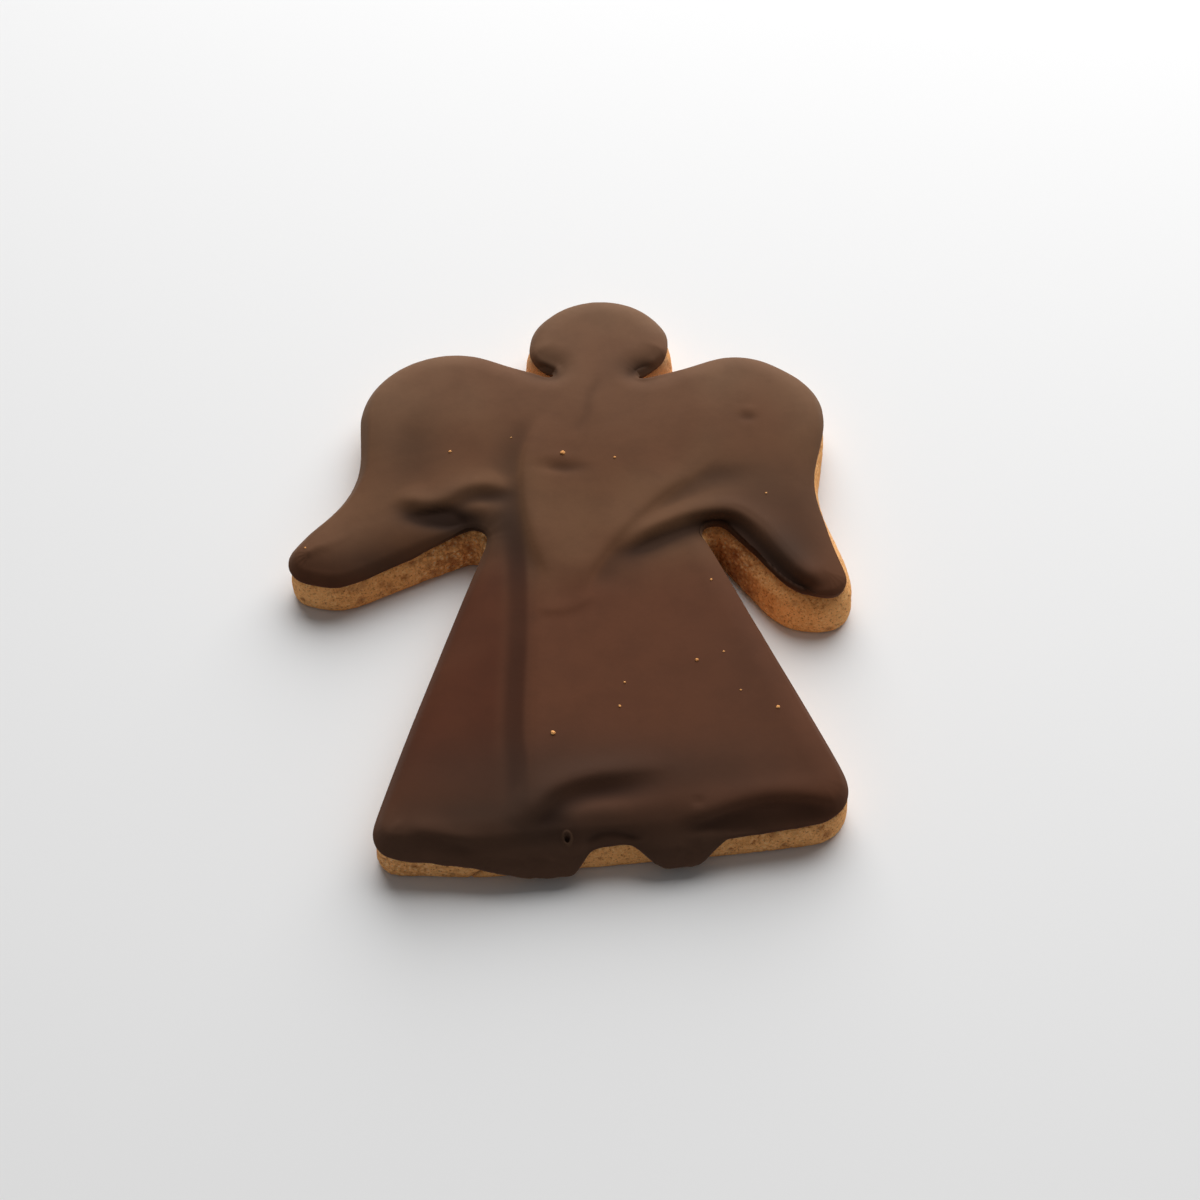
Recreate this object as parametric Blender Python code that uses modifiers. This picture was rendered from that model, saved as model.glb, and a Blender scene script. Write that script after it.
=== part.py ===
# Gingerbread angel: a cut-out biscuit under a coat of dark chocolate.
# It lies on its back with the coated side up (+Z) and its head towards +Y.
# Lengths are in millimetres, and become metres where a vertex is made.

import math
from collections import namedtuple

import bmesh
import bpy
from mathutils import Vector, noise
from mathutils.geometry import delaunay_2d_cdt

MM = 0.001

# The biscuit's edge, from the floor up.
BISCUIT_HEIGHT = 9.0
FOOT_ROUNDING = 1.0
BELLY_HEIGHT = 2.7
BELLY_LEAN = 0.25
SHOULDER_START = 5.0
SHOULDER_WIDTH = 4.6
FRONT_SHOULDER_START = 3.4
FRONT_SHOULDER_WIDTH = 7.0
FRONT_FROM = 0.2
FRONT_FULL = 0.9
RING_SPAN = 3.4
RING_STEPS = 5
HEM_FALL = 1.3
HEM_WIDTH = 13.0
NOTCH_SHARE = 0.62
NOTCH_SPREAD = 9.0
CRAG_DEPTH = 0.25
CRAG_LENGTH = 3.0

# The coat of chocolate.
COAT_GAP = 0.3
COAT_THICKNESS = 1.05
SIDE_THICKNESS = 0.6
LIP_THICKNESS = 0.35
LIP_SHARE = 0.4
THICKEST = 3.0
THINNEST = 0.45
THINNING_END = 0.8
WAVE_HEIGHT = 0.12
WAVE_LENGTH = 14.0
RING_SHARES = (1.0, 0.9, 0.75, 0.6, 0.5, 0.3, 0.0)

# How finely the shapes are divided.
OUTLINE_STEP = 3.2
HEM_STEP = 1.3
HEM_Y = -44.0
TURN_STEP = 0.42
SHORTEST_STEP = 0.15
EDGE_SMOOTHING = 6
SURFACE_STEP = 2.7
HIDDEN_STEP = 4.4
SURFACE_MARGIN = 1.5

# Corners of the outline, anticlockwise: x, y, rounding, and how far the coat
# reaches down the side there, measured along it from the flat top.
HEAD = (
    (14.0, 49.0, 4.0, 1.5), (13.0, 55.5, 11.0, 3.0), (7.5, 66.5, 13.0, 4.5),
    (-7.5, 64.5, 13.5, 4.5), (-13.5, 57.0, 11.5, 3.5), (-15.0, 48.5, 4.0, 1.5),
)
LEFT_NECK = ((-9.5, 45.5, 0.3, 3.0), (-9.0, 44.5, 0.3, 1.0))
LEFT_WING = (
    (-27.5, 53.0, 16.0, 4.5), (-43.0, 44.0, 15.5, 4.5), (-43.0, 33.5, 18.0, 4.0),
    (-41.5, 17.5, 19.0, 4.0),
)
LEFT_ARM = (
    (-49.5, 8.0, 8.0, 4.0), (-55.5, -1.0, 4.5, 3.5), (-43.5, -4.0, 7.5, 3.5),
    (-30.0, 3.0, 13.5, 3.0), (-20.5, 7.5, 1.5, 1.5),
)
ROBE = (
    (-20.5, 2.5, 8.0, 4.0), (-29.5, -30.5, 50.0, 4.0), (-35.5, -53.5, 4.0, 3.5),
    (-16.0, -54.0, 40.0, 4.5), (-10.5, -53.0, 10.0, 4.5),
    (0.5, -52.0, 10.0, 3.0), (20.0, -50.0, 10.0, 3.5), (32.0, -48.5, 11.0, 3.0),
    (40.0, -46.0, 6.0, 3.0),
)
RIGHT_ARM = (
    (17.5, 10.0, 0.4, 1.5), (30.0, -8.0, 9.5, 1.0), (43.0, -8.0, 5.5, 2.0),
    (41.5, 2.5, 7.5, 0.1),
)
RIGHT_WING = (
    (37.5, 17.0, 22.5, 2.0), (40.5, 33.5, 19.5, 3.0), (39.0, 43.0, 13.0, 4.0),
    (26.0, 52.5, 13.0, 4.5),
)
RIGHT_NECK = ((7.0, 44.0, 0.3, 1.0), (7.5, 45.0, 0.3, 3.0))
CORNERS = (HEAD + LEFT_NECK + LEFT_WING + LEFT_ARM + ROBE + RIGHT_ARM
           + RIGHT_WING + RIGHT_NECK)

# Drips on the hem of the robe: x where each starts, hangs fully, stops doing so
# and ends, then its reach and how far it bulges outward.
DRIPS = (
    (-21.0, -8.2, -4.6, -1.4, 7.6, 1.0),
    (4.2, 9.8, 13.8, 19.0, 7.7, 1.1),
)

# Grooves that the chocolate ran into: width, depth, points of the route.
GROOVES = (
    (1.6, 0.6, ((3, 3.5), (6, 6.5), (10, 8.8), (15, 10), (20, 10))),
    (1.3, 0.35, ((4, 5), (0.5, 1.5), (-1.5, -4), (-3, -9.5), (-9, -10.5))),
    (1.4, 0.5, ((-31, 9.8), (-27, 11.5), (-23, 14.2), (-18, 14.8), (-13.5, 12))),
    (1.6, 0.55, ((-12.6, 10), (-12.4, 0), (-12.7, -14), (-12.8, -30), (-12.4, -45))),
    (1.0, 0.45, ((-10.5, 45.2), (-7.5, 42.8))),
    (1.0, 0.45, ((9.5, 45.8), (5.0, 43.2))),
    (1.8, 0.5, ((-9, -47.5), (-5.5, -44), (0, -42.6), (7, -42), (13, -41))),
    (1.3, 0.3, ((17, -47), (24, -45), (33, -43.5))),
)

# Swellings, where the chocolate stayed thick: width, height, points.
SWELLINGS = (
    (4.0, 0.45, ((20, 24), (13, 17.5), (7, 10.5))),
    (2.6, 0.35, ((-30, -50), (-20, -50.3), (-10, -50.5))),
    (3.5, 0.5, ((-4, -48), (4, -47), (14, -46.5))),
    (3.0, 0.3, ((-38, 36), (-38, 24), (-42, 12), (-48, 5))),
    (3.0, 0.3, ((33, 14), (36, 4), (38, -2))),
)

# Small pits: x, y, radius, depth.
PITS = (
    (-29.0, 10.5, 2.2, 0.5),
    (-7.0, 22.0, 2.6, 0.35),
    (26.0, 36.0, 1.6, 0.25),
    (-4.8, -50.6, 1.1, 0.6),
    (14.5, -46.0, 1.2, 0.25),
)

# The thicker flow down the chest, and the panel right of the long crease.
CHEST = ((-12.5, 24), (-3, 36), (10, 38), (22, 26), (12, 15), (3, 4), (-1, -3), (-4, -10), (-10, -9))
RIGHT_PANEL = ((-11, -10), (24, -10), (38, -44), (-11, -46))
CHEST_HEIGHT = 0.3
PANEL_HEIGHT = 0.25
PANEL_SOFTNESS = 1.2

# A point of the outline: its place, its outward direction, how far the coat reaches
# down there, and how wide the rounded shoulder is and at what height it starts.
Edge = namedtuple("Edge", "spot outward reach width start")

GINGERBREAD_COLOUR = (0.36, 0.16, 0.06, 1.0)
CHOCOLATE_COLOUR = (0.085, 0.043, 0.027, 1.0)


def smooth_share(value, low, high):
    share = min(max((value - low) / (high - low), 0.0), 1.0)
    return share * share * (3.0 - 2.0 * share)


def rounded_outline():
    """Edges at points along the rounded outline."""
    points = []
    count = len(CORNERS)
    places = [Vector(corner[:2]) for corner in CORNERS]
    arcs = []
    for index, (_, _, rounding, _) in enumerate(CORNERS):
        before = (places[index] - places[index - 1]).normalized()
        after = (places[(index + 1) % count] - places[index]).normalized()
        turn = math.atan2(before.x * after.y - before.y * after.x, before.dot(after))
        cut = rounding * math.tan(abs(turn) / 2)
        start = places[index] - before * cut
        side = Vector((-before.y, before.x)) * math.copysign(rounding, turn)
        arcs.append((start, places[index] + after * cut, start + side, turn, before, after))
    for index, (start, end, centre, turn, before, after) in enumerate(arcs):
        rounding, reach = CORNERS[index][2:]
        steps = max(1, math.ceil(abs(turn) / TURN_STEP), math.ceil(abs(turn) * rounding / OUTLINE_STEP))
        for step in range(steps + 1):
            angle = turn * step / steps
            along = Vector((before.x * math.cos(angle) - before.y * math.sin(angle),
                            before.x * math.sin(angle) + before.y * math.cos(angle)))
            outward = Vector((along.y, -along.x))
            points.append((centre + outward * math.copysign(rounding, turn), outward, reach))
        nearby = arcs[(index + 1) % count][0]
        next_reach = CORNERS[(index + 1) % count][3]
        length = (nearby - end).length
        stride = HEM_STEP if max(end.y, nearby.y) < HEM_Y else OUTLINE_STEP
        steps = math.ceil(length / stride)
        for step in range(1, steps):
            share = step / steps
            place = end.lerp(nearby, share)
            points.append((place, Vector((after.y, -after.x)), reach + (next_reach - reach) * share))
    spots, outwards, reaches = zip(*drop_doubles(points))
    fronts = [smooth_share(-outward.y, FRONT_FROM, FRONT_FULL) for outward in outwards]
    edges = []
    for spot, outward, reach, front in zip(spots, outwards, softened(reaches), softened(fronts)):
        width = SHOULDER_WIDTH + (FRONT_SHOULDER_WIDTH - SHOULDER_WIDTH) * front
        start = SHOULDER_START + (FRONT_SHOULDER_START - SHOULDER_START) * front
        edges.append(Edge(spot, outward, reach, width * notch_share(spot), start))
    return edges


def softened(values):
    """Evens out a value between each outline point and its two neighbours, several times over."""
    for _ in range(EDGE_SMOOTHING):
        following = values[1:] + values[:1]
        values = [(value + (values[index - 1] + after) / 2) / 2
                  for index, (value, after) in enumerate(zip(values, following))]
    return values


def drop_doubles(points):
    kept = []
    for point in points:
        if not kept or (point[0] - kept[-1][0]).length > SHORTEST_STEP:
            kept.append(point)
    if (kept[0][0] - kept[-1][0]).length <= SHORTEST_STEP:
        kept.pop()
    return kept


def notch_share(spot):
    """1 all round, but less in the notches of the neck, where the rings lie closer together."""
    nearest = min((spot - Vector(corner[:2])).length for corner in LEFT_NECK + RIGHT_NECK)
    return NOTCH_SHARE + (1 - NOTCH_SHARE) * smooth_share(nearest, 0.0, NOTCH_SPREAD)


def hem_fall(x, y):
    """How much the top has sunk near the hem."""
    distance = route_distance(x, y, [corner[:2] for corner in ROBE[2:]])
    return HEM_FALL * max(1.0 - distance / HEM_WIDTH, 0.0) ** 2


def shoulder_height(x, y, inset, width, start):
    """Height of the biscuit's rounded top, at a distance in from its edge."""
    share = max(1.0 - inset / width, 0.0)
    risen = math.sqrt(1.0 - share * share)
    return start + (BISCUIT_HEIGHT - start - hem_fall(x, y)) * risen


def side_profile(edge):
    """Inset and height of the biscuit's side, from the floor to the end of its rings."""
    profile = []
    for step in range(3):
        turn = math.pi / 4 * step
        profile.append((FOOT_ROUNDING * (1 - math.sin(turn)), FOOT_ROUNDING * (1 - math.cos(turn))))
    profile.append((0.0, BELLY_HEIGHT))
    x, y = edge.spot
    span = RING_SPAN * notch_share(edge.spot)
    for step in range(RING_STEPS + 1):
        inset = span * (1 - math.cos(math.pi / 2 * step / RING_STEPS))
        profile.append((BELLY_LEAN + inset, shoulder_height(x, y, inset, edge.width, edge.start)))
    return profile


def top_height(x, y, edges):
    """Height of the biscuit's top inside its rings."""
    nearest = math.inf
    for first, second in zip(edges, edges[1:] + edges[:1]):
        run = second.spot - first.spot
        offset = Vector((x, y)) - first.spot
        share = min(max(offset.dot(run) / run.length_squared, 0.0), 1.0)
        distance = (offset - run * share).length
        if distance < nearest:
            nearest = distance
            width = first.width + (second.width - first.width) * share
            start = first.start + (second.start - first.start) * share
    return shoulder_height(x, y, nearest - BELLY_LEAN, width, start)


def coat_place(distance, profile):
    """Inset and height of the coat's inner face, at a distance down the side from the last ring."""
    profile = profile[::-1]
    for upper, lower in zip(profile, profile[1:]):
        length = math.dist(upper, lower)
        if distance <= length or lower == profile[-1]:
            share = distance / length
            inset = upper[0] + (lower[0] - upper[0]) * share
            height = upper[1] + (lower[1] - upper[1]) * share
            outward = (upper[1] - lower[1]) / length
            upward = (upper[0] - lower[0]) / length
            return inset - COAT_GAP * outward, height + COAT_GAP * upward
        distance -= length


def segment_distance(x, y, first, second):
    run = Vector((second[0] - first[0], second[1] - first[1]))
    offset = Vector((x - first[0], y - first[1]))
    share = min(max(offset.dot(run) / run.length_squared, 0.0), 1.0)
    return (offset - run * share).length


def route_distance(x, y, route):
    return min(segment_distance(x, y, first, second) for first, second in zip(route, route[1:]))


def is_inside(x, y, corners):
    inside = False
    for first, second in zip(corners, corners[1:] + corners[:1]):
        if (first[1] > y) != (second[1] > y):
            inside ^= x < first[0] + (y - first[1]) / (second[1] - first[1]) * (second[0] - first[0])
    return inside


def area_share(x, y, corners):
    """1 well inside an area, 0 well outside it, with a soft border."""
    border = route_distance(x, y, corners + corners[:1])
    if not is_inside(x, y, corners):
        border = -border
    return smooth_share(border, -PANEL_SOFTNESS, PANEL_SOFTNESS)


def drip_shares(spot):
    """How much of each drip hangs at a point of the outline."""
    shares = []
    for start, full, fading, end, _, _ in DRIPS:
        share = smooth_share(spot.x, start, full) * (1.0 - smooth_share(spot.x, fading, end))
        shares.append(share if spot.y < HEM_Y else 0.0)
    return shares


def top_thickness(x, y):
    """Thickness of the chocolate above a point of the biscuit."""
    thickness = COAT_THICKNESS
    thickness += WAVE_HEIGHT * noise.noise(Vector((x, y, 0.0)) / WAVE_LENGTH)
    thickness += CHEST_HEIGHT * area_share(x, y, CHEST)
    thickness += PANEL_HEIGHT * area_share(x, y, RIGHT_PANEL)
    for width, height, route in SWELLINGS:
        thickness += height * math.exp(-(route_distance(x, y, route) / width) ** 2)
    for width, depth, route in GROOVES:
        thickness -= depth * math.exp(-(route_distance(x, y, route) / width) ** 2)
    for pit_x, pit_y, radius, depth in PITS:
        thickness -= depth * math.exp(-(math.hypot(x - pit_x, y - pit_y) / radius) ** 2)
    return max(thickness, THINNEST)


def new_vert(bm, x, y, z):
    return bm.verts.new((x * MM, y * MM, z * MM))


def add_ring(bm, edges, places):
    """A closed ring of vertices, one for each edge, at the inset and height given for it."""
    ring = []
    for edge, (inset, height) in zip(edges, places):
        place = edge.spot - edge.outward * inset
        ring.append(new_vert(bm, place.x, place.y, height))
    return ring


def join_rings(bm, lower, upper):
    count = len(lower)
    for index in range(count):
        after = (index + 1) % count
        bm.faces.new((lower[index], lower[after], upper[after], upper[index]))


def fill_ring(bm, ring, spacing, height_at):
    """Triangles inside a ring, with evenly spread vertices between."""
    flat = [Vector((vert.co.x / MM, vert.co.y / MM)) for vert in ring]
    inner = []
    if spacing:
        inner = spread_points(flat, spacing)
    loop = [(index, (index + 1) % len(flat)) for index in range(len(flat))]
    result = delaunay_2d_cdt(flat + inner, loop, [], 1, 1e-5)
    verts = []
    for place, sources in zip(result[0], result[3]):
        if sources and sources[0] < len(ring):
            verts.append(ring[sources[0]])
        else:
            verts.append(new_vert(bm, place.x, place.y, height_at(place.x, place.y)))
    for face in result[2]:
        bm.faces.new([verts[index] for index in face])


def spread_points(border, spacing):
    """A triangular grid of points that keep clear of the border."""
    points = []
    row_height = spacing * math.sqrt(3) / 2
    loop = tuple((place.x, place.y) for place in border)
    low_x, high_x = min(p[0] for p in loop), max(p[0] for p in loop)
    low_y, high_y = min(p[1] for p in loop), max(p[1] for p in loop)
    rows = math.ceil((high_y - low_y) / row_height)
    columns = math.ceil((high_x - low_x) / spacing)
    for row in range(rows):
        for column in range(columns):
            x = low_x + (column + 0.5 * (row % 2)) * spacing
            y = low_y + row * row_height
            if is_inside(x, y, loop) and route_distance(x, y, loop + loop[:1]) > SURFACE_MARGIN:
                points.append(Vector((x, y)))
    return points


def crag(spot, height):
    """How far the craggy side is set in, at a point of the outline and a height."""
    bare = 0.0 < height <= SHOULDER_START
    wave = noise.noise(Vector((spot.x, spot.y, height)) / CRAG_LENGTH)
    return CRAG_DEPTH * (0.5 + 0.5 * wave) if bare else 0.0


def biscuit_mesh(edges):
    bm = bmesh.new()
    rings = []
    for level in zip(*(side_profile(edge) for edge in edges)):
        places = [(inset + crag(edge.spot, height), height)
                  for edge, (inset, height) in zip(edges, level)]
        rings.append(add_ring(bm, edges, places))
    for lower, upper in zip(rings, rings[1:]):
        join_rings(bm, lower, upper)
    fill_ring(bm, rings[-1], HIDDEN_STEP, lambda x, y: top_height(x, y, edges))
    bottom = len(bm.faces)
    fill_ring(bm, rings[0], 0, lambda x, y: 0.0)
    bm.faces.ensure_lookup_table()
    bmesh.ops.reverse_faces(bm, faces=bm.faces[bottom:])
    return bm


def coat_mesh(edges):
    """The sheet of chocolate that touches the biscuit, with its thickness as weights."""
    bm = bmesh.new()
    weights = bm.verts.layers.deform.verify()
    hanging = [drip_shares(edge.spot) for edge in edges]
    profiles = [side_profile(edge) for edge in edges]
    reaches = []
    for edge, shares in zip(edges, hanging):
        reach = edge.reach
        for drip, share in zip(DRIPS, shares):
            reach += (drip[4] - reach) * share
        reaches.append(reach)
    rings = []
    for ring_share in RING_SHARES:
        places = [coat_place(reach * ring_share, profile) for profile, reach in zip(profiles, reaches)]
        rings.append(add_ring(bm, edges, places))
    for lower, upper in zip(rings, rings[1:]):
        join_rings(bm, lower, upper)
    fill_ring(bm, rings[-1], SURFACE_STEP, lambda x, y: top_height(x, y, edges) + COAT_GAP)
    for vert in bm.verts:
        vert[weights][0] = top_thickness(vert.co.x / MM, vert.co.y / MM) / THICKEST
    for ring, ring_share in zip(rings[:-1], RING_SHARES):
        for vert, shares in zip(ring, hanging):
            top = vert[weights][0] * THICKEST
            thickness = top + (SIDE_THICKNESS - top) * smooth_share(ring_share, 0.0, THINNING_END)
            for drip, share in zip(DRIPS, shares):
                thickness += drip[5] * share * smooth_share(ring_share, 0.0, 1.0)
            if ring is rings[0]:
                thickness = LIP_THICKNESS + LIP_SHARE * (thickness - SIDE_THICKNESS)
            vert[weights][0] = thickness / THICKEST
    return bm


def new_object(name, bm, collection, material):
    mesh = bpy.data.meshes.new(name)
    bm.to_mesh(mesh)
    bm.free()
    mesh.materials.append(material)
    mesh.shade_smooth()
    part = bpy.data.objects.new(name, mesh)
    collection.objects.link(part)
    return part


def new_material(name, colour, roughness):
    material = bpy.data.materials.new(name)
    material.use_nodes = True
    shader = material.node_tree.nodes["Principled BSDF"]
    shader.inputs["Base Color"].default_value = colour
    shader.inputs["Roughness"].default_value = roughness
    shader.inputs["Metallic"].default_value = 0.0
    return material


def thicken(coat):
    coat.vertex_groups.new(name="thickness")
    solidify = coat.modifiers.new("thickness", "SOLIDIFY")
    solidify.thickness = THICKEST * MM
    solidify.offset = 1.0
    solidify.vertex_group = "thickness"
    solidify.thickness_vertex_group = 0.0
    solidify.use_rim = True


def centre_over_origin(parts):
    """Moves the parts so that the middle of their box lies over the origin."""
    bpy.context.view_layer.update()
    depsgraph = bpy.context.evaluated_depsgraph_get()
    corners = []
    for part in parts:
        evaluated = part.evaluated_get(depsgraph)
        mesh = evaluated.to_mesh()
        corners += [part.matrix_world @ vert.co for vert in mesh.vertices]
        evaluated.to_mesh_clear()
    for part in parts:
        for axis in (0, 1):
            values = [corner[axis] for corner in corners]
            part.location[axis] -= (min(values) + max(values)) / 2


def main():
    for old in list(bpy.data.objects):
        bpy.data.objects.remove(old, do_unlink=True)
    collection = bpy.data.collections.new("gingerbread_angel")
    bpy.context.scene.collection.children.link(collection)
    edges = rounded_outline()
    gingerbread = new_material("gingerbread", GINGERBREAD_COLOUR, 0.85)
    chocolate = new_material("dark_chocolate", CHOCOLATE_COLOUR, 0.45)
    biscuit = new_object("biscuit", biscuit_mesh(edges), collection, gingerbread)
    coat = new_object("chocolate_coat", coat_mesh(edges), collection, chocolate)
    thicken(coat)
    centre_over_origin((biscuit, coat))


main()
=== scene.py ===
import math

import bmesh
import bpy
import numpy as np
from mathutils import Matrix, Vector, noise
from mathutils.bvhtree import BVHTree


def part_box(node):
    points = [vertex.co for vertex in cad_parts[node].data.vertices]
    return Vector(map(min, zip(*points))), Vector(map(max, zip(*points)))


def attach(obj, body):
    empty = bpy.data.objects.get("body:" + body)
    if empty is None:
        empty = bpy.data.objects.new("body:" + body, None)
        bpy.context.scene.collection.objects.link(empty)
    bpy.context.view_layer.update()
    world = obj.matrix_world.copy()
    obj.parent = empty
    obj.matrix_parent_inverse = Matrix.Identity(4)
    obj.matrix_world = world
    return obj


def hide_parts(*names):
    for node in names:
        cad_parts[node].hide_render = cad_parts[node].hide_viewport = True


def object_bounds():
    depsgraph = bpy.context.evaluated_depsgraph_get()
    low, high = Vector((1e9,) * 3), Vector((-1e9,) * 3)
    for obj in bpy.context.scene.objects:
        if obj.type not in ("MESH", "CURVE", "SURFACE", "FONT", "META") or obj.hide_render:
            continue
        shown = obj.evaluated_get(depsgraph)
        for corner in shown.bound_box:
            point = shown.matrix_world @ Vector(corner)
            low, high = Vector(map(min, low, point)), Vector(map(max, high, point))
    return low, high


mm = 0.001  # lengths below are written in millimetres, unless a note says otherwise
mergeDistance = 1e-6  # in metres
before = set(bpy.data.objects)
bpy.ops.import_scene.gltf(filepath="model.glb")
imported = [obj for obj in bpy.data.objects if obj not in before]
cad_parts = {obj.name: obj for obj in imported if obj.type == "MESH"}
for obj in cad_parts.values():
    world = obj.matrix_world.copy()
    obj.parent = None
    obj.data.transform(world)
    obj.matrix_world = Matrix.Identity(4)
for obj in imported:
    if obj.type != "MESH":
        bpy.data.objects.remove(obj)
cadLow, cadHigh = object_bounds()
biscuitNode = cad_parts["biscuit"]
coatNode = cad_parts["chocolate_coat"]
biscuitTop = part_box("biscuit")[1].z / mm
print("frame loaded")


def ease(value, low, high):  # 0 below low, 1 above high, smooth between
    share = np.clip((value - low) / (high - low), 0.0, 1.0)
    return share * share * (3.0 - 2.0 * share)


def hill(distance, width):  # 1 in the middle, falling off with its width on both sides
    return np.exp(-(distance / width) ** 2)


def alongRoute(x, y, route):  # signed distance to a route, positive on its left, and how far along it
    best = np.full(x.shape, 1e9)
    signed = np.zeros(x.shape)
    along = np.zeros(x.shape)
    done = 0.0
    for (ax, ay), (bx, by) in zip(route, route[1:]):
        runX, runY = bx - ax, by - ay
        length = math.hypot(runX, runY)
        share = np.clip(((x - ax) * runX + (y - ay) * runY) / length**2, 0.0, 1.0)
        offX, offY = x - ax - runX * share, y - ay - runY * share
        distance = np.hypot(offX, offY)
        closer = distance < best
        best = np.where(closer, distance, best)
        signed = np.where(closer, np.sign(runX * offY - runY * offX) * distance, signed)
        along = np.where(closer, done + share * length, along)
        done += length
    return signed, along / done


def softRoute(route, steps=6):  # the same route with its corners eased
    points = [Vector(point) for point in route]
    ends = [points[0] * 2 - points[1], *points, points[-1] * 2 - points[-2]]
    eased = []
    for before, start, end, after in zip(ends, ends[1:], ends[2:], ends[3:]):
        for step in range(steps):
            t = step / steps
            eased.append(0.5 * (2 * start + (end - before) * t
                                + (2 * before - 5 * start + 4 * end - after) * t**2
                                + (3 * start - before - 3 * end + after) * t**3))
    return [tuple(point) for point in eased] + [tuple(points[-1])]


def coordsOf(mesh):
    flat = np.empty(len(mesh.vertices) * 3)
    mesh.vertices.foreach_get("co", flat)
    return flat.reshape(-1, 3) / mm


def normalsOf(mesh):
    flat = np.empty(len(mesh.vertices) * 3)
    mesh.vertex_normals.foreach_get("vector", flat)
    return flat.reshape(-1, 3)


def setCoords(mesh, coords):
    inside = np.clip(coords * mm, np.array(cadLow), np.array(cadHigh))  # never outside the frame's box
    mesh.vertices.foreach_set("co", inside.ravel())
    mesh.update()


def setMask(mesh, name, values):  # a number at each vertex, which the finish reads
    layer = mesh.attributes.new(name, "FLOAT", "POINT")
    layer.data.foreach_set("value", values.astype(np.float32))


def relax(mesh, coords, moving, rounds, share=0.5, back=1.03):  # evens the surface without shrinking it
    edges = np.empty(len(mesh.edges) * 2, np.int32)
    mesh.edges.foreach_get("vertices", edges)
    first, second = edges.reshape(-1, 2).T
    count = np.bincount(edges, minlength=len(coords))[:, None]
    for pull in (share, -share * back) * rounds:
        total = np.zeros_like(coords)
        np.add.at(total, first, coords[second])
        np.add.at(total, second, coords[first])
        coords = coords + (total / count - coords) * pull * moving[:, None]
    return coords


def noiseAt(coords, size, seed=0.0):
    return np.array([noise.noise(Vector(c) / size + Vector((seed, 0, 0))) for c in coords])


def trianglesIn(mesh):
    mesh.calc_loop_triangles()
    return len(mesh.loop_triangles)


def linkNew(name, mesh):
    piece = bpy.data.objects.new(name, mesh)
    bpy.context.scene.collection.objects.link(piece)
    return piece


def roundedCopy(node, name):  # a merged copy of a frame node, with its facets rounded off once
    bm = bmesh.new()
    bm.from_mesh(node.data)
    bmesh.ops.remove_doubles(bm, verts=bm.verts, dist=mergeDistance)
    bmesh.ops.join_triangles(bm, faces=bm.faces, angle_face_threshold=0.7, angle_shape_threshold=1.2)
    rough = bpy.data.meshes.new(name + "_rough")
    bm.to_mesh(rough)
    bm.free()
    for layer in [layer for layer in rough.attributes if layer.name == "custom_normal"]:
        rough.attributes.remove(layer)
    holder = linkNew(name + "_rough", rough)
    rounding = holder.modifiers.new("rounding", "SUBSURF")
    rounding.levels = rounding.render_levels = 1
    shape = bpy.data.meshes.new_from_object(holder.evaluated_get(bpy.context.evaluated_depsgraph_get()))
    bpy.data.objects.remove(holder)
    return shape


def splitEdges(mesh, chosen, cuts):  # finer faces where both ends of an edge are chosen
    bm = bmesh.new()
    bm.from_mesh(mesh)
    bm.verts.ensure_lookup_table()
    edges = [edge for edge in bm.edges if chosen[edge.verts[0].index] and chosen[edge.verts[1].index]]
    bmesh.ops.subdivide_edges(bm, edges=edges, cuts=cuts, use_grid_fill=True)
    bm.to_mesh(mesh)
    bm.free()


class Wire:  # a socket that takes part in sums
    def __init__(self, finish, socket):
        self.finish = finish
        self.socket = socket

    def __add__(self, other):
        return self.finish.maths("ADD", self, other)

    def __radd__(self, other):
        return self.finish.maths("ADD", other, self)

    def __sub__(self, other):
        return self.finish.maths("SUBTRACT", self, other)

    def __rsub__(self, other):
        return self.finish.maths("SUBTRACT", other, self)

    def __mul__(self, other):
        return self.finish.maths("MULTIPLY", self, other)

    def __rmul__(self, other):
        return self.finish.maths("MULTIPLY", other, self)


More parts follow.
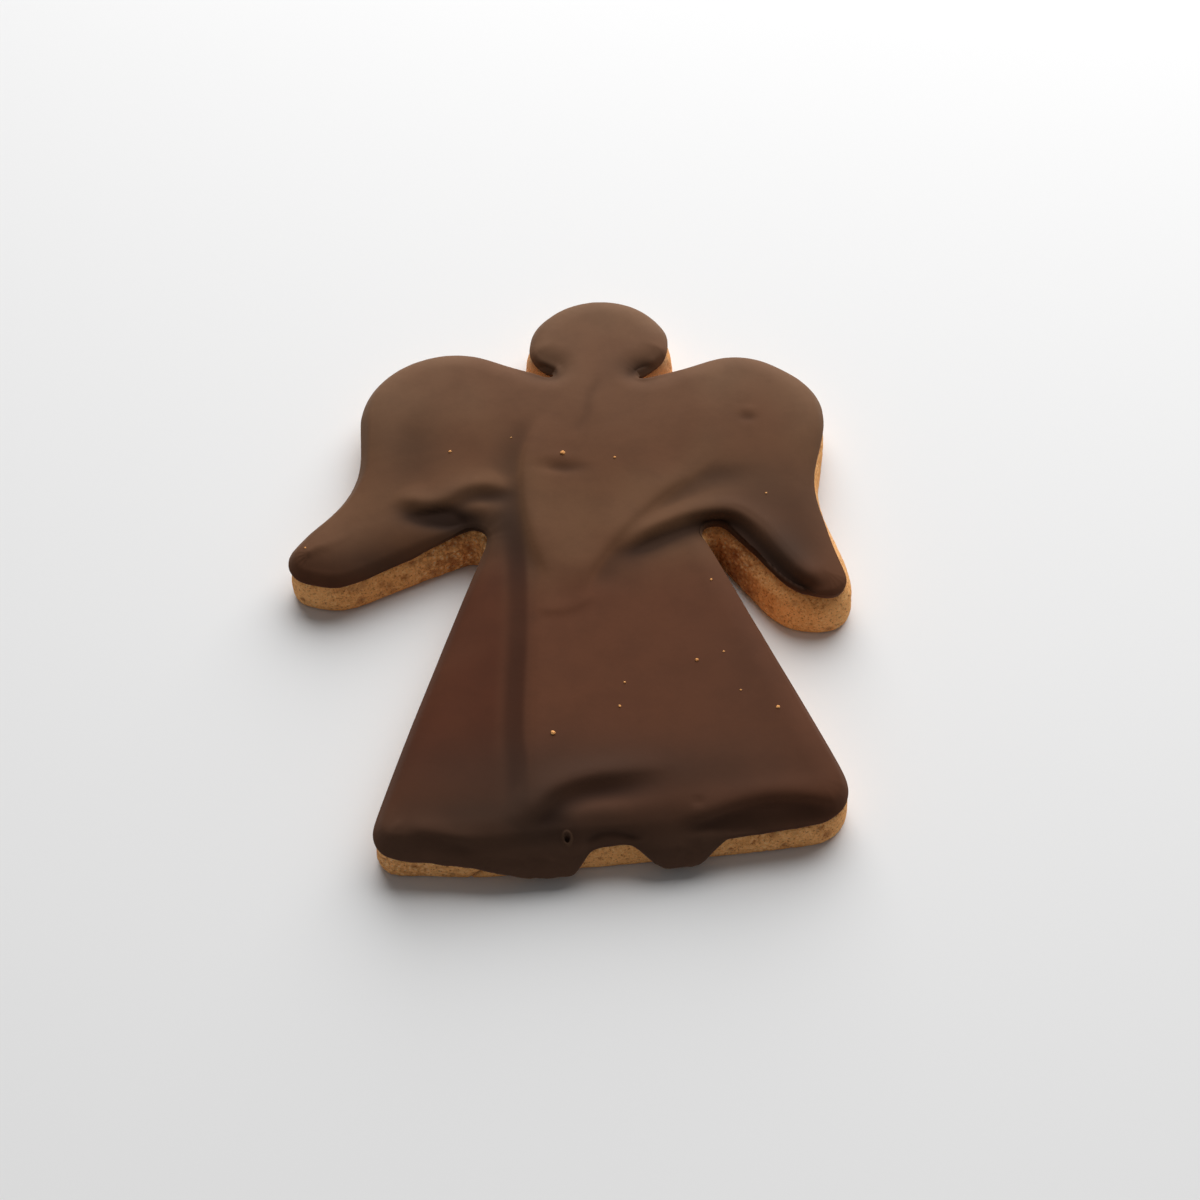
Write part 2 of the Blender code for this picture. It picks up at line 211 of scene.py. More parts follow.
class Finish:  # a material and the nodes that make it up
    def __init__(self, name, constants):
        self.material = bpy.data.materials.new(name)
        self.material.use_nodes = True
        self.tree = self.material.node_tree
        self.shader = self.tree.nodes["Principled BSDF"]
        for socket, value in constants.items():
            self.shader.inputs[socket].default_value = value
        self.place = self.add("ShaderNodeTexCoord", out="Object")

    def add(self, kind, settings=None, sockets=None, out=0):
        node = self.tree.nodes.new(kind)
        for setting, value in (settings or {}).items():
            setattr(node, setting, value)
        for socket, value in (sockets or {}).items():
            if isinstance(value, Wire):
                self.tree.links.new(value.socket, node.inputs[socket])
            else:
                node.inputs[socket].default_value = value
        return Wire(self, node.outputs[out])

    def maths(self, operation, first, second):
        return self.add("ShaderNodeMath", {"operation": operation}, {0: first, 1: second})

    def grain(self, size, detail=2.0, rough=0.5):  # noise, with its size in millimetres
        return self.add("ShaderNodeTexNoise", {}, {
            "Vector": self.place, "Scale": 1 / (size * mm), "Detail": detail, "Roughness": rough})

    def cells(self, size):  # distance from the middle of the nearest lump
        return self.add("ShaderNodeTexVoronoi", {"feature": "F1"}, {
            "Vector": self.place, "Scale": 1 / (size * mm)}, out="Distance")

    def ramp(self, wire, low, high):  # 0 below low, 1 above high, smooth between
        return self.add("ShaderNodeMapRange", {"interpolation_type": "SMOOTHSTEP"}, {
            "Value": wire, "From Min": low, "From Max": high})

    def blend(self, share, first, second):
        return self.add("ShaderNodeMix", {"data_type": "RGBA"}, {0: share, 6: first, 7: second}, out=2)

    def layered(self, ground, layers):  # each colour lies over the ones before it
        colour = ground
        for share, over in layers:
            colour = self.blend(share, colour, over)
        return colour

    def mask(self, name):
        return self.add("ShaderNodeAttribute", {"attribute_name": name}, out="Fac")

    def wear(self, socket, wire):
        self.tree.links.new(wire.socket, self.shader.inputs[socket])

    def bump(self, relief, height):  # relief too fine for the mesh, with its height in millimetres
        return self.add("ShaderNodeBump", {}, {
            "Height": relief, "Strength": 1.0, "Distance": height * mm})


def chocolateFinish():
    look = {
        "upper": (0.141, 0.068, 0.035, 1.0),
        "skirt": (0.115, 0.044, 0.023, 1.0),
        "thin": (0.086, 0.027, 0.014, 1.0),
        # painted shade along the crease, over the darker tone of thicker chocolate
        "crease": (0.062, 0.021, 0.011, 1.0),
        # painted reflection: a greyer brown towards the hem, for the sheen of the surroundings on the
        # dark chocolate there
        "hem": (0.104, 0.057, 0.037, 1.0),
        # painted shade in pits, folds and on slopes turned from the lamp, partly a darker tone of the
        # chocolate
        "shadeAndDarkTone": (0.050, 0.029, 0.020, 1.0),
        # painted shade in the hollows of the folds; the random mottle uses this colour too
        "mottleAndHollowShade": (0.021, 0.011, 0.008, 1.0),
        # painted highlight: lighter towards the head, on the far rims and round the bubble
        "paintedHighlight": (0.192, 0.104, 0.060, 1.0),
        "skirtStart": (9.0, 31.0),    # how far below the middle the skirt's colour comes in, darker and redder; its darkening is partly painted shade
        "hemStart": (52.0, 61.0),
        "headStart": (26.0, 52.0),    # how far above the middle the painted highlight does
        "skirtDrift": 24.0,           # how uneven those borders are
        "hemDrift": 6.0,
        "headDrift": 16.0,
        "cloudSize": 22.0,
        "streakSize": 30.0,
        "mottleSize": 6.0,
        "roughness": 0.5,
        "roughDrift": 0.16,
        "ripple": 0.05,
    }
    finish = Finish("satin_dark_chocolate", {
        "Metallic": 0.0, "IOR": 1.45, "Specular IOR Level": 0.02, "Roughness": 0.55,
        "Sheen Weight": 0.07, "Sheen Roughness": 0.45, "Sheen Tint": (1.0, 0.85, 0.68, 1.0)})
    along = finish.add("ShaderNodeSeparateXYZ", {}, {0: finish.place}, out="Y")
    up = along * (1 / mm)
    down = along * (-1 / mm)
    clouds = finish.grain(look["cloudSize"], 3.0)
    skirt = finish.ramp(down + clouds * look["skirtDrift"], *look["skirtStart"])
    head = finish.ramp(up + clouds * look["headDrift"], *look["headStart"])
    streaks = finish.ramp(finish.grain(look["streakSize"], 2.0), 0.42, 0.62)
    hem = finish.ramp(down + clouds * look["hemDrift"], *look["hemStart"])
    mottle = finish.ramp(finish.grain(look["mottleSize"], 4.0, 0.6), 0.35, 0.7)
    colour = finish.layered(look["upper"], (
        # darker and redder towards the hem, the darkening partly painted shade
        (skirt, look["skirt"]),
        # painted highlight, lighter towards the head
        (head, look["paintedHighlight"]),
        (finish.mask("thin") * 0.85, look["thin"]),
        # painted shade along the crease, over thicker chocolate
        (finish.mask("crease") * 0.8, look["crease"]),
        (streaks * 0.4, look["skirt"]),
        # painted reflection, greyer towards the hem
        (hem * 0.8, look["hem"]),
        # painted highlight on the far rims and round the bubble
        (finish.mask("paintedHighlight"), look["paintedHighlight"]),
        (mottle * 0.12, look["mottleAndHollowShade"]),
        # painted shade in the darker patches, partly a darker tone
        (finish.mask("shadeAndDarkTone"), look["shadeAndDarkTone"]),
        # painted shade in the hollows of the folds
        (finish.mask("mottleAndHollowShade") * 0.8, look["mottleAndHollowShade"]),
    ))
    ripples = finish.grain(2.6, 2.0) * 0.5 + finish.grain(0.5, 2.0) * 0.15
    finish.wear("Base Color", colour)
    finish.wear("Roughness", look["roughness"] + finish.grain(9, 3.0) * look["roughDrift"])
    finish.wear("Normal", finish.bump(ripples, look["ripple"]))
    return finish.material


def gingerbreadFinish():
    look = {
        "crumb": (1.00, 0.49, 0.175, 1.0),
        "crust": (0.88, 0.40, 0.130, 1.0),
        # the dark of the crumb's pores, and painted shade in the cut pits, the crack and between lumps
        "darkPoreAndShade": (0.25, 0.054, 0.014, 1.0),
        "brown": (0.42, 0.135, 0.037, 1.0),
        # painted shade on the sides facing the lamp, and a duller tone in the notches of the neck
        "dullShade": (0.64, 0.39, 0.215, 1.0),
        "grain": (1.00, 0.63, 0.27, 1.0),
        "flake": (1.00, 0.74, 0.42, 1.0),
        "shade": (0.30, 0.105, 0.033, 1.0),
        "blotchSize": 6.0,
        "coarseSize": 1.1,
        "fineSize": 0.42,
        "gritSize": 0.2,
        "lumpSize": 0.75,
        "relief": 0.22,
    }
    finish = Finish("baked_gingerbread", {
        "Metallic": 0.0, "IOR": 1.4, "Specular IOR Level": 0.2, "Roughness": 0.85})
    blotches = finish.grain(look["blotchSize"], 4.0, 0.6)
    coarse = finish.grain(look["coarseSize"], 4.0, 0.7)
    fine = finish.grain(look["fineSize"], 3.0, 0.7)
    lumps = finish.cells(look["lumpSize"]) + coarse * 0.35 - 0.17
    crumbly = finish.mask("crumbly")
    colour = finish.layered(look["crumb"], (
        (finish.ramp(blotches, 0.36, 0.64), look["crust"]),
        (finish.ramp(coarse, 0.54, 0.70) * 0.55, look["crust"]),
        (finish.ramp(fine, 0.53, 0.64) * 0.75, look["grain"]),
        (finish.ramp(1.0 - fine, 0.54, 0.66) * 0.65, look["darkPoreAndShade"]),
        (finish.ramp(1.0 - coarse, 0.60, 0.72) * 0.7, look["brown"]),
        # painted shade on the sides facing the lamp, duller tone in the neck's notches
        (finish.mask("dullingShade"), look["dullShade"]),
        (finish.ramp(lumps, 0.50, 0.68) * crumbly * 0.6, look["darkPoreAndShade"]),       # painted shade between the lumps
        ((1.0 - finish.ramp(lumps, 0.20, 0.38)) * crumbly, look["flake"]),    # on top of them
        (finish.mask("shade"), look["shade"]),
        # painted shade in the cut pores and the crack
        (finish.mask("darkPoreAndShade"), look["darkPoreAndShade"]),
    ))
    grit = finish.grain(look["gritSize"], 2.0)
    relief = fine + coarse * 0.8 + grit * 0.3 - lumps * crumbly * 1.6
    finish.wear("Base Color", colour)
    finish.wear("Normal", finish.bump(relief, look["relief"]))
    return finish.material


coat = {
    "gap": 0.3,            # between the biscuit's solid and the coat's
    "thickness": 1.05,
    "thinnest": 0.15,      # what the deepest fold leaves of it
    "sink": 0.35,          # how deep its hidden face goes into the biscuit
    "outer": 0.2,          # a point that faces away by more than this is on its outer face,
    "outerEase": (0.0, 0.5),  # and how the changes fade in there
    "cuts": 2,             # finer faces on the outer face, and again this near the bubble
    "bubbleFine": 1.5,
    "evenRounds": (14, 6),    # smoothing before and after the height is set
    "rimHeight": 2.7,      # height of the biscuit's widest line
    "rimSlack": 0.02,
    "rimRounds": 6,
    "rimFacing": (0.2, 0.9),  # where a rim that faces the hem's way begins and is full
    "rimEase": (0.6, 2.6),    # how far in from the rim the even height takes over
    "shoulder": 5.8,       # width of the rounded edge, and the height where it starts
    "shoulderStart": 5.0,
    "frontStart": 3.4,     # that height where the edge faces the hem's way
    "frontShoulders": (    # the same for the width: x, y, width there
        (-38, -8, 9.0), (-22, 0, 7.5), (-24, -60, 4.2), (-12, -60, 4.8), (-4, -60, 5.5),
        (15, -60, 6.0), (35, -56, 6.4), (28, -2, 5.6), (40, -12, 6.4),
    ),
    "shoulderSpread": 60.0,   # how far each of them counts, in square millimetres,
    "shoulderBase": 0.002,    # and how much the common width does
    "hemLine": ((-30.5, -59.1), (-11, -59.6), (5.5, -57.6), (25, -55.6), (37, -54.1), (45, -51.6)),
    "hemFall": 1.3,        # how far the top sinks towards the hem, and from where
    "hemWidth": 13.0,
    "drawnAt": 10.0,       # height of the plane on which the routes, pits and patches are drawn,
    "drawnSlope": 0.78,    # and how far they slide back for each unit of height above it
    "lipFoot": (0.4, 1.6),    # heights between which the lip's unevenness fades in and out
    "lipHead": (4.0, 8.0),
    "lipWave": 0.45,       # unevenness of the lip
    "lipLength": 2.4,
    "ragged": 0.17,        # the same, finer
    "raggedLength": 0.9,
    "wave": 0.10,          # slow unevenness of the set chocolate
    "waveLength": 13.0,
    "roomEase": (0.3, 2.0),   # how far in from the rim the folds may go deep, and stand high
    "foldEase": (0.0, 1.2),
    "lowShare": 0.75,      # how deep the low side of a step is against its high side
    "steps": (             # height, half width, reach, fades at both ends, route; higher on its left
        (2.40, 1.3, 3.6, 0.20, 0.50, ((-6.5, -57), (-4.3, -54), (-2, -51), (0.7, -49.3), (4, -48.2),
                                      (8, -47.5), (12, -46.8), (18, -46))),
        (1.60, 1.3, 3.6, 0.20, 0.25, ((15.5, -56), (20, -54.8), (25, -52.7), (30, -51.3), (35, -51.3),
                                      (40, -52.3), (43, -53.5))),
        (0.55, 0.8, 2.2, 0.25, 0.30, ((-24, -56.6), (-20, -57.2), (-16, -58.3), (-12, -59.3))),
        (2.50, 1.1, 3.6, 0.20, 0.08, ((6, -3.8), (10, -1.6), (13.5, 0.6), (17, 2.4), (20.5, 3.8),
                                      (24, 4.5), (27.5, 4.2), (30, 2.2), (32.5, -1.2), (35, -5.2),
                                      (38, -9), (41.5, -11.4))),
        (1.90, 1.2, 3.4, 0.22, 0.26, ((-31, 8.5), (-27.5, 6.8), (-24.3, 6.0), (-21.4, 6.8), (-18.6, 8.9),
                                      (-15.5, 10.1), (-12, 10.2), (-9, 9.2))),
        (0.32, 0.9, 8.0, 0.10, 0.20, ((-7.2, 6), (-6.0, 0), (-4.9, -7), (-4.9, -14), (-5.6, -22),
                                      (-5.4, -38), (-5.6, -56))),
        (1.20, 0.9, 5.0, 0.30, 0.25, ((-5, 30), (-7.8, 22), (-8.8, 16), (-8.6, 10), (-8, 5), (-7, 0),
                                      (-5.8, -4), (-4, -8), (-3, -11))),
        (1.30, 1.1, 5.0, 0.20, 0.35, ((2.5, -14), (3.5, -9), (6, -4), (10, 2), (14, 6.8), (18, 10.8),
                                      (22, 14), (27, 18))),
        (0.30, 0.7, 3.0, 0.30, 0.30, ((-6.5, -14.8), (-4, -16.2), (0, -15.8), (3, -14), (4.5, -11))),
    ),
    "grooves": (           # depth, width, fades at both ends, route
        (0.45, 1.2, 0.35, 0.6, ((-7.0, 41.5), (-4.5, 38.8), (-1.5, 36.5))),
        (0.45, 1.2, 0.35, 0.6, ((15.0, 42), (11.5, 39.2), (8.5, 37))),
        (0.14, 1.5, 0.10, 0.2, ((-7.6, -54), (-8.4, -38), (-8.4, -22), (-8.8, -8), (-9.8, 0),
                                (-10.4, 8))),
        (0.22, 4.5, 0.40, 0.4, ((-27, 32), (-27.6, 22), (-27.2, 13), (-26.5, 7))),
        (0.32, 0.6, 0.25, 0.25, ((2.3, -59), (4.3, -57.4), (7, -56.9), (9.7, -57.5), (11.8, -59))),
        (0.15, 0.9, 0.30, 0.4, ((5.5, 39), (3.2, 33), (2.2, 27), (-1, 22))),
    ),
    "pits": (              # x, y, half width, half height, depth; a bulge where that is negative
        (-23.0, 4.7, 3.4, 2.0, 0.85),
        (-19.4, 3.2, 3.4, 2.0, 0.70),
        (-4.2, -54.2, 3.2, 3.2, 0.20),
        (-15.3, 6.6, 3.4, 1.8, -0.35),
        (-1.8, 15.6, 3.6, 1.3, 0.42),
        (-1.8, 18.2, 3.0, 1.2, -0.12),
        (25.5, 14.0, 5.0, 2.6, 0.30),
        (31.0, 27.6, 1.5, 1.1, 0.26),
        (31.0, 29.6, 1.5, 1.0, -0.12),
        (19.5, -51.4, 0.9, 0.7, 0.24),
        (5.0, -52.6, 6.5, 2.4, -0.35),
    ),
    "shadeAndDarkTone": (              # x, y, half width, half height, strength of the darker patches: painted shade in pits, folds and on slopes turned from the lamp, and in some a darker tone of the chocolate
        (6, -47.5, 34, 6.5, 0.45),
        (-18, -53, 12, 5, 0.25),
        (30, -30, 11, 20, 0.20),
        (33, 8, 12, 10, 0.45),
        (38, -3, 4.5, 7, 0.35),
        (34, -5, 5, 6, 0.50),
        (2, -44, 26, 6, 0.30),
        (-28, 18, 7, 15, 0.14),
        (-32, -6, 10, 3.4, 0.50),
        (-20, 3.5, 7, 4, 0.45),
        (-22.0, 4.4, 3.4, 2.2, 0.45),
        (-18.2, 2.8, 3.0, 2.2, 0.65),
        (-15.0, 9.4, 5.5, 1.6, 0.40),
        (-5.0, 39.0, 3.2, 2.6, 0.55),
        (12.0, 39.8, 4.0, 2.8, 0.55),
        (-10.5, 5, 2.6, 6, 0.50),
        (-13.5, 1, 4, 5, 0.28),
        (-4, -54.5, 5, 5, 0.65),
        (-13.5, -53.5, 6.5, 3.2, 0.32),
        (10, -58, 26, 5, 0.30),
    ),
    "paintedHighlight": (              # the same for the paler patches, painted highlights on the far rims
        (-38, -1, 9, 7, 0.40),
        (-35, 31, 5, 10, 0.50),
        (30, 39, 14, 5, 0.25),
        (6, 62, 12, 5, 0.30),
    ),
    "patchLimit": 0.8,     # the strongest that any of them gets together
    "hollowShade": 1.5,    # painted shade for each unit that the surface lies below the even coat
    "thinSide": ((-9, -70), (-9, 2), (-12, 12)),  # the coat looks thinner to the left of this route
    "thinEase": (-0.5, 3.0),
    "thinFoot": (-56.0, -42.0),
    "thinHead": (-14.0, 8.0),
    "crease": ((-7.2, -58), (-7.6, -46), (-8.5, -38), (-8.4, -22), (-8.8, -8), (-9.8, 0), (-10.4, 8)),
    "creaseRight": (-2.3, -1.2),   # where the dark line along it, painted shade over thicker chocolate, begins and is full, and
    "creaseLeft": (0.5, 2.4),      # where it starts to fade and ends
    "creaseEnds": (0.12, 0.25),
    "bubble": (0.1, -56.3, 0.45, 0.42),  # x, y, half width, half height
    "bubbleDepth": 0.8,
    "bubbleEdge": (0.55, 1.05),          # in half widths, as the ring's middle and width are
    "bubbleRing": (0.25, 1.35, 0.35),    # height, middle and width of the raised ring round it
    "bubbleHighlight": (0.9, 1.5, 0.45),      # strength, middle and width of the paler ring round it, a painted highlight
}


def rimLoop():  # the biscuit's widest line, anticlockwise, and how far each point faces the hem's way
    bm = bmesh.new()
    bm.from_mesh(biscuitNode.data)
    bmesh.ops.remove_doubles(bm, verts=bm.verts, dist=mergeDistance)
    edges = [edge for edge in bm.edges
             if all(abs(vert.co.z / mm - coat["rimHeight"]) < coat["rimSlack"] for vert in edge.verts)]
    edge = edges[0]
    vert = edge.verts[0]
    points = []
    while len(points) < len(edges):
        points.append(vert.co.xy / mm)
        vert = edge.other_vert(vert)
        edge = next(other for other in vert.link_edges if other in edges and other != edge)
    bm.free()
    points = np.array(points)
    following = np.roll(points, -1, axis=0)
    if (points[:, 0] * following[:, 1] - points[:, 1] * following[:, 0]).sum() < 0:
        points = points[::-1]
    along = np.roll(points, -1, axis=0) - np.roll(points, 1, axis=0)
    front = ease(along[:, 0] / np.hypot(along[:, 0], along[:, 1]), *coat["rimFacing"])
    for _ in range(coat["rimRounds"]):
        front = front / 2 + (np.roll(front, 1) + np.roll(front, -1)) / 4
    return points, front


def shoulderWidths(points, front):  # width of the rounded edge at each point of the rim
    weights = np.full(len(points), coat["shoulderBase"])
    total = weights * coat["shoulder"]
    for x, y, width in coat["frontShoulders"]:
        weight = np.exp(-((points[:, 0] - x) ** 2 + (points[:, 1] - y) ** 2) / coat["shoulderSpread"])
        total += weight * width
        weights += weight
    return coat["shoulder"] + (total / weights - coat["shoulder"]) * front


def rimReading(x, y):  # how far in from the rim, and the nearest point's facing and shoulder width
    points, fronts = rimLoop()
    widths = shoulderWidths(points, fronts)
    best = np.full(x.shape, 1e9)
    front = np.zeros(x.shape)
    width = np.zeros(x.shape)
    inside = np.zeros(x.shape, bool)
    for index, (ax, ay) in enumerate(points):
        after = (index + 1) % len(points)
        bx, by = points[after]
        runX, runY = bx - ax, by - ay
        share = np.clip(((x - ax) * runX + (y - ay) * runY) / (runX**2 + runY**2), 0.0, 1.0)
        distance = np.hypot(x - ax - runX * share, y - ay - runY * share)
        closer = distance < best
        front = np.where(closer, fronts[index] + (fronts[after] - fronts[index]) * share, front)
        width = np.where(closer, widths[index] + (widths[after] - widths[index]) * share, width)
        best = np.where(closer, distance, best)
        if ay != by:
            inside ^= ((ay > y) != (by > y)) & (x < ax + (y - ay) / (by - ay) * runX)
    return np.where(inside, best, -best), front, width


def evenHeight(x, y, inward, front, width):  # height of a coat of even thickness
    grown = coat["gap"] + coat["thickness"]
    start = coat["shoulderStart"] + (coat["frontStart"] - coat["shoulderStart"]) * front
    hem, _ = alongRoute(x, y, coat["hemLine"])
    fall = coat["hemFall"] * np.maximum(1.0 - np.abs(hem) / coat["hemWidth"], 0.0) ** 2
    share = np.clip(1.0 - (inward + grown) / (width + grown), 0.0, 1.0)
    return start + (biscuitTop + grown - fall - start) * np.sqrt(1.0 - share**2)


def endFade(along, start, end):
    return ease(along, 0.0, start) * ease(1.0 - along, 0.0, end)


def foldHeight(x, y):  # height of the flowed chocolate over its even thickness
    height = np.zeros(x.shape)
    for rise, width, spread, start, end, route in coat["steps"]:
        distance, along = alongRoute(x, y, softRoute(route))
        step = np.tanh(distance / width) * hill(distance, spread)
        step = np.where(step < 0, step * coat["lowShare"], step)
        height += rise / 2 * step * endFade(along, start, end)
    for depth, width, start, end, route in coat["grooves"]:
        distance, along = alongRoute(x, y, softRoute(route))
        height -= depth * hill(distance, width) * endFade(along, start, end)
    for pitX, pitY, halfX, halfY, depth in coat["pits"]:
        height -= depth * hill(x - pitX, halfX) * hill(y - pitY, halfY)
    return height


def facingAway(shape, core):  # 1 on the face turned from the biscuit, -1 on the one turned to it
    coords = coordsOf(shape)
    hits = [core.find_nearest(Vector(c) * mm) for c in coords]
    away = coords - np.array([hit[0] for hit in hits]) / mm
    gaps = np.maximum(np.linalg.norm(away, axis=1), 1e-6)
    return (normalsOf(shape) * away).sum(axis=1) / gaps, hits


def bubbleRing(x, y):  # distance from the bubble's middle, in its half widths
    middleX, middleY, halfX, halfY = coat["bubble"]
    return np.hypot((x - middleX) / halfX, (y - middleY) / halfY)


def bubbleHeight(ring):
    height, middle, width = coat["bubbleRing"]
    hole = coat["bubbleDepth"] * (1 - ease(ring, *coat["bubbleEdge"]))
    return height * hill(ring - middle, width) - hole


def patchShade(name, x, y):
    shade = np.zeros(len(x))
    for patchX, patchY, halfX, halfY, strength in coat[name]:
        shade += strength * hill(x - patchX, halfX) * hill(y - patchY, halfY)
    return shade


def maskCoat(shape, x, y, drawnY, folds, outer):  # what the finish reads
    # painted highlights: a paler ring round the bubble and the paler patches
    strength, middle, width = coat["bubbleHighlight"]
    highlightRing = strength * hill(bubbleRing(x, y) - middle, width)
    # the darker patches: painted shade, partly a darker tone
    setMask(shape, "shadeAndDarkTone", np.minimum(patchShade("shadeAndDarkTone", x, drawnY), coat["patchLimit"]))
    setMask(shape, "paintedHighlight", np.minimum(patchShade("paintedHighlight", x, drawnY) + highlightRing, coat["patchLimit"]))
    # painted shade where the folds sink below the even coat
    setMask(shape, "mottleAndHollowShade", np.clip(-folds * coat["hollowShade"], 0.0, 1.0) * outer)
    side, _ = alongRoute(x, y, coat["thinSide"])
    across = ease(y, *coat["thinFoot"]) * (1 - ease(y, *coat["thinHead"]))
    setMask(shape, "thin", ease(side, *coat["thinEase"]) * across)
    # the dark line along the crease: painted shade over thicker chocolate
    away, along = alongRoute(x, y, softRoute(coat["crease"]))
    band = ease(away, *coat["creaseRight"]) * (1 - ease(away, *coat["creaseLeft"]))
    setMask(shape, "crease", band * endFade(along, *coat["creaseEnds"]))


def makeCoat():
    shape = roundedCopy(coatNode, "chocolate_glaze")
    core = BVHTree.FromObject(biscuitNode, bpy.context.evaluated_depsgraph_get())
    facing, _ = facingAway(shape, core)
    splitEdges(shape, facing > coat["outer"], coat["cuts"])
    bubbleX, bubbleY, _, _ = coat["bubble"]
    facing, _ = facingAway(shape, core)
    coords = coordsOf(shape)
    nearBubble = np.hypot(coords[:, 0] - bubbleX, coords[:, 1] - bubbleY) < coat["bubbleFine"]
    splitEdges(shape, (facing > coat["outer"]) & nearBubble, coat["cuts"])

    firstRounds, lastRounds = coat["evenRounds"]
    facing, hits = facingAway(shape, core)
    outer = ease(facing, *coat["outerEase"])
    coords = relax(shape, coordsOf(shape), outer, firstRounds)
    x, y = coords[:, 0], coords[:, 1]
    inward, front, width = rimReading(x, y)
    target = evenHeight(x, y, inward, front, width) + coat["wave"] * noiseAt(coords, coat["waveLength"])
    coords[:, 2] += (target - coords[:, 2]) * ease(inward, *coat["rimEase"]) * outer
    coords = relax(shape, coords, outer, lastRounds)
    lip = ease(coords[:, 2], *coat["lipFoot"]) * (1 - ease(coords[:, 2], *coat["lipHead"]))
    coords[:, 2] += coat["lipWave"] * lip * noiseAt(coords, coat["lipLength"], seed=11.0)
    coords[:, 2] += coat["ragged"] * lip * noiseAt(coords, coat["raggedLength"], seed=17.0)
    setCoords(shape, coords)

    room = ease(inward, *coat["roomEase"]) * (coat["thickness"] - coat["thinnest"])
    drawnY = y + (target - coat["drawnAt"]) * coat["drawnSlope"]
    folds = np.maximum(foldHeight(x, drawnY) * ease(inward, *coat["foldEase"]), -room)
    coords += normalsOf(shape) * (folds * outer)[:, None]
    coords[:, 2] += bubbleHeight(bubbleRing(x, y)) * outer
    for index in np.flatnonzero(facing < -coat["outer"]):  # the hidden face reaches into the biscuit
        spot, normal = hits[index][:2]
        coords[index] = np.array(spot - normal * coat["sink"] * mm) / mm
    setCoords(shape, coords)
    maskCoat(shape, x, y, drawnY, folds, outer)
    shape.shade_smooth()
    piece = linkNew("chocolate_glaze", shape)
    shape.materials.clear()
    shape.materials.append(chocolateFinish())
    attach(piece, "root")
    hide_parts("chocolate_coat")
    print("coat made", trianglesIn(shape))
    return piece


bake = {
    "cuts": 2,             # finer faces on the cut side, which ends this far below the top
    "sideEnd": 0.8,
    "evenRounds": 4,
    "bareFoot": (0.05, 0.7),  # how the side's relief fades in above the floor and out below the top
    "bareHead": (1.4, 0.8),
    "pores": (             # spacing, reach and depth of the pores in the cut side
        (0.8, 0.34, 0.09),
        (1.6, 0.42, 0.18),
        (3.0, 0.50, 0.24),
    ),
    "poreUneven": 0.4,     # how much the pores differ in size, and grow where it is crumbly
    "poreShuffle": 9.7,
    "poreShade": 3.0,
    "poreLimit": 0.75,
    "dullingShade": 0.6,         # how strongly the far sides, which face the lamp, are dulled by painted shade
    "farFacing": (-0.2, 0.6),
    "dullingSpots": ((-7.0, 41.5, 0.8), (15.5, 41.5, 0.8)),  # x, y and strength of more of it, a duller tone in the notches of the neck
    "dullingReach": (6.0, 3.0),
    "lump": 0.20,
    "lumpLength": 4.0,
    "grit": 0.05,
    "gritLengths": (0.7, 1.3),
    "gritGain": 3.0,       # how much rougher it is where it is crumbly
    "crumbly": (           # x, y, reach, strength and shade of the crumbly patches
        (-18.0, -2.0, 6.5, 0.9, 0.10),
        (25.5, -2.5, 7.0, 0.7, 0.55),
        (-25.0, -60.0, 8.0, 0.45, 0.0),
        (30.0, -56.0, 10.0, 0.25, 0.0),
        (-36.0, -16.0, 9.0, 0.25, 0.0),
    ),
    "crack": ((-14.6, 0.0), (-13.6, 1.6), (-12.6, 2.4), (-11.8, 4.6)),  # x and height
    "crackWidth": 0.22,
    "crackDepth": 0.6,
    "crackY": -50.0,       # it is in the hem's side, nearer than this,
    "crackTop": 5.0,       # and lower
}


def poreDepths(coords, bare, crumbly):
    uneven = bake["poreUneven"]
    depths = np.zeros(len(coords))
    for index in np.flatnonzero(bare > 0.01):
        place = Vector(coords[index])
        for spacing, reach, depth in bake["pores"]:
            distances, middles = noise.voronoi(place / spacing)
            size = reach * (1 - uneven + uneven * noise.noise(middles[0] * bake["poreShuffle"]))
            size *= 1 + uneven * crumbly[index]
            depths[index] += depth * max(0.0, 1.0 - distances[0] / size)
    return depths


def dullingShadeOf(shape, x, y):  # duller and darker on the far sides, which face the lamp, as painted shade, and duller in the notches of the neck
    dullingShade = ease(normalsOf(shape)[:, 1], *bake["farFacing"]) * bake["dullingShade"]
    outermost, innermost = bake["dullingReach"]
    for spotX, spotY, strength in bake["dullingSpots"]:
        near = ease(-np.hypot(x - spotX, y - spotY), -outermost, -innermost)
        dullingShade = np.maximum(dullingShade, strength * near)
    return dullingShade


